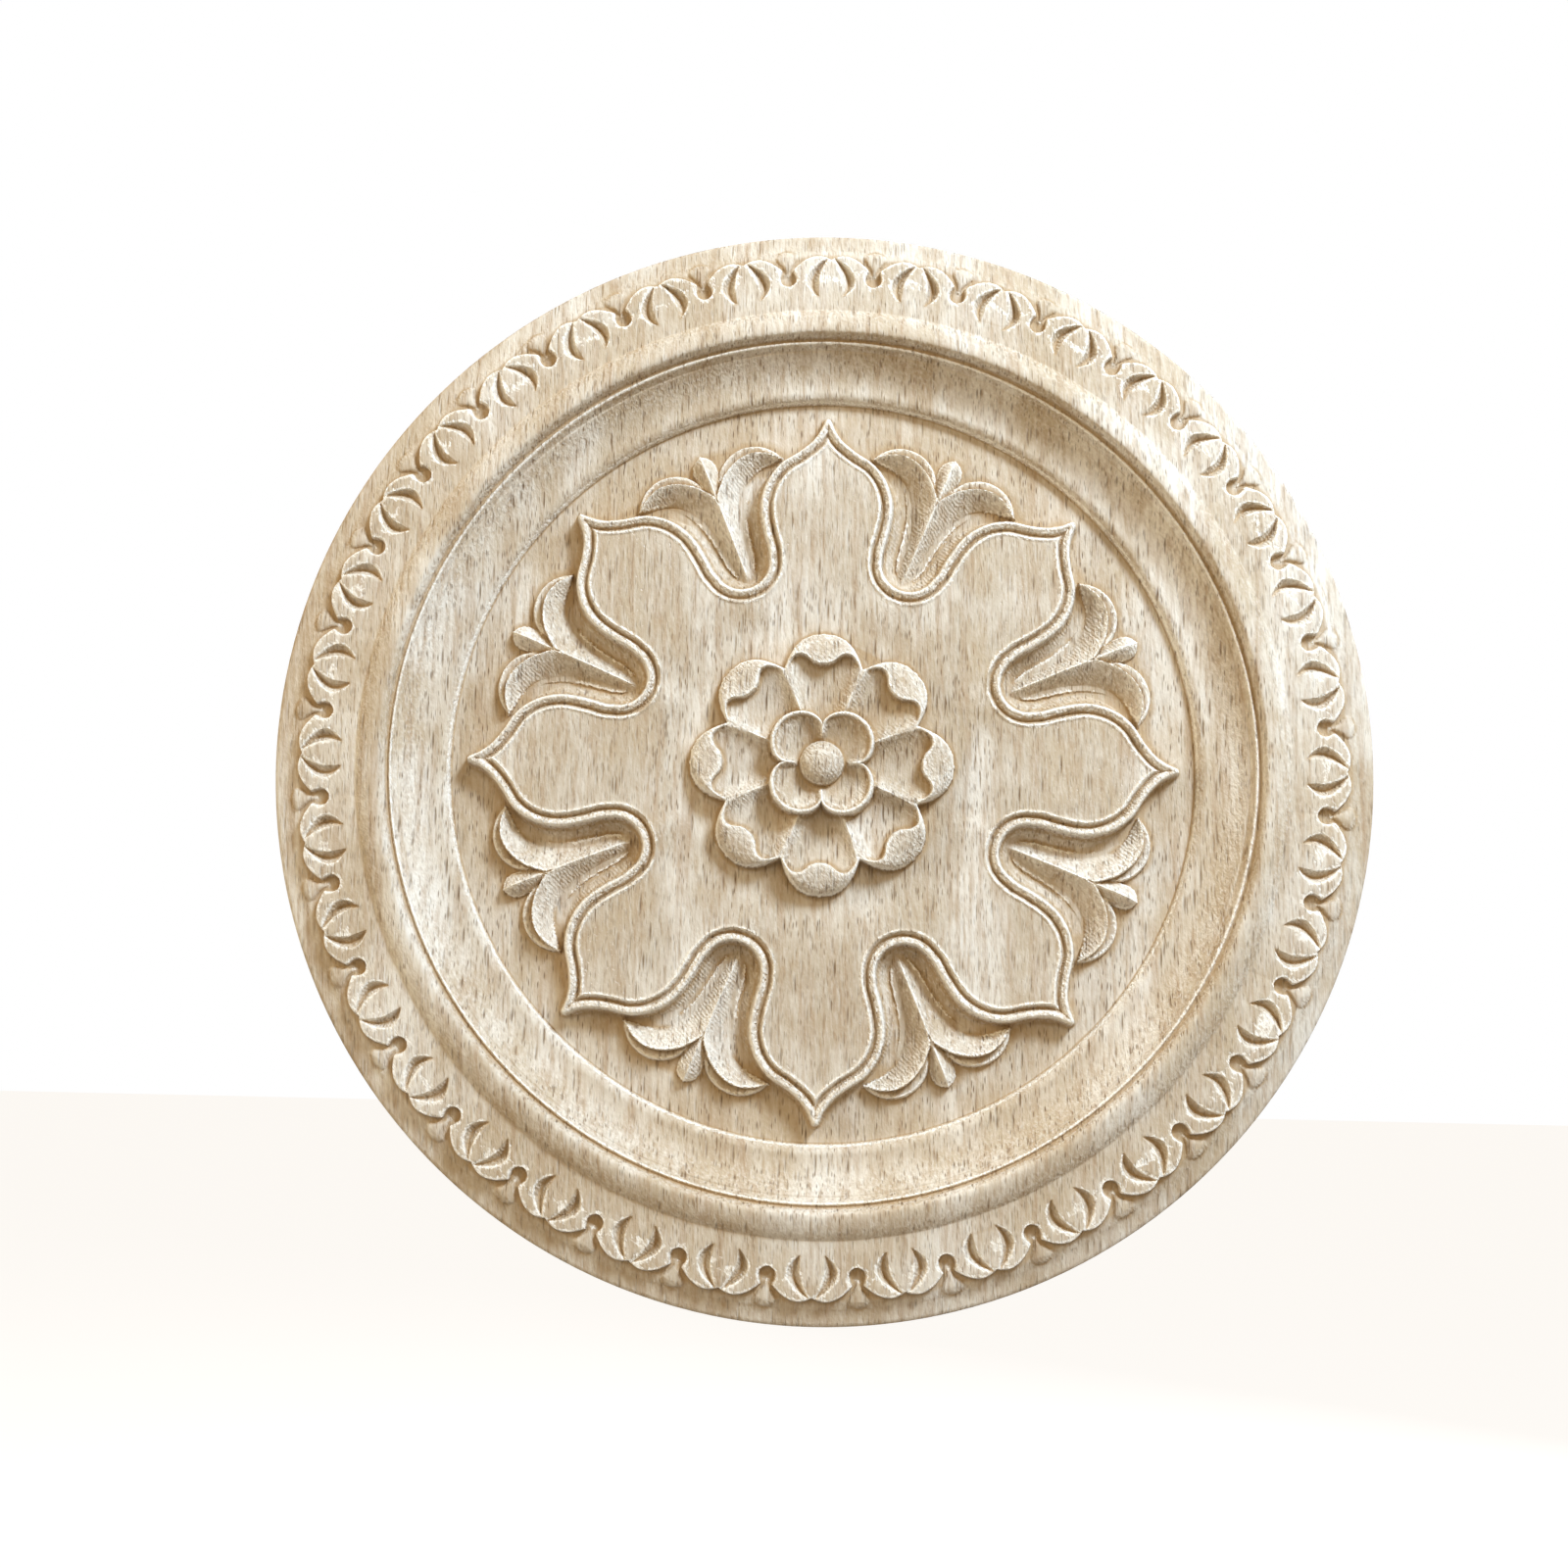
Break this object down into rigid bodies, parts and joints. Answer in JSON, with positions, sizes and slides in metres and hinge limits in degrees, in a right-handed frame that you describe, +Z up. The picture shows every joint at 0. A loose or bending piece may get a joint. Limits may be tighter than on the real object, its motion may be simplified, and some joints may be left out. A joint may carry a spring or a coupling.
{
  "type": "carved wood applique",
  "caption": "Round carved wood applique: a lobed plate with lilies in its gaps and a cupped rosette at its centre, inside turned mouldings and a border of leaves",
  "frame": {"origin": "centre of the flat back, in the plane of the back", "axes": "+Z up as it is fixed, with a lobe tip at the top; +X to the right of a viewer in front; the carved face looks along -Y and the back face along +Y"},
  "size_m": [0.2, 0.0148, 0.2],
  "materials": {
    "pale_wood": "bare sanded pale hardwood, unfinished, with short dark pores along an upright grain"
  },
  "bodies": {
    "root": {"carved_rosette": "pale_wood"}
  },
  "joints": []
}
